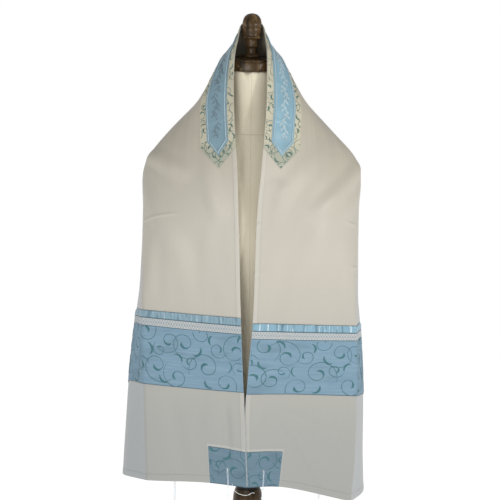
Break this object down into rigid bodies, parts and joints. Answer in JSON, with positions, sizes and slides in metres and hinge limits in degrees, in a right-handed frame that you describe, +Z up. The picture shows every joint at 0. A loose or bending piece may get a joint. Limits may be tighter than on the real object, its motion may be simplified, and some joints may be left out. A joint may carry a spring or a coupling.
{
  "type": "tallit prayer shawl on a dress form stand",
  "caption": "Fringed rectangular prayer shawl with bands, neckband and corner squares, draped round the neck of a limbless dress form on a turned stand.",
  "frame": {"origin": "centre of the stand base's flat underside", "axes": "+Z up the stand, +Y to the shawl's back, +X to the shawl's right as seen from the front"},
  "size_m": [0.4742, 0.34, 1.5231],
  "materials": {
    "ivory_cloth": "fine ribbed weave with a soft sheen",
    "cream_organza": "sheer organza with a green scroll pattern",
    "blue_satin": "satin",
    "blue_organza": "organza with a teal scroll pattern",
    "white_lace": "lace braid",
    "white_thread": "twisted wool thread",
    "canvas": "matt stretched canvas",
    "dark_wood": "polished, turned"
  },
  "bodies": {
    "root": {"tallit_cloth": "ivory_cloth", "neckband_ground": "cream_organza", "neckband_ribbon": "blue_satin", "gathered_ribbon_left": "blue_satin", "gathered_ribbon_right": "blue_satin", "lace_braid_left": "white_lace", "lace_braid_right": "white_lace", "wide_band_left": "blue_organza", "wide_band_right": "blue_organza", "corner_square_front_left": "blue_organza", "corner_square_front_right": "blue_organza", "corner_square_back_left": "blue_organza", "corner_square_back_right": "blue_organza", "tzitzit_front_left": "white_thread", "tzitzit_front_right": "white_thread", "tzitzit_back_left": "white_thread", "tzitzit_back_right": "white_thread", "torso": "canvas", "neck_cap": "dark_wood", "finial": "dark_wood", "stand_post": "dark_wood", "stand_base": "dark_wood"}
  },
  "joints": []
}
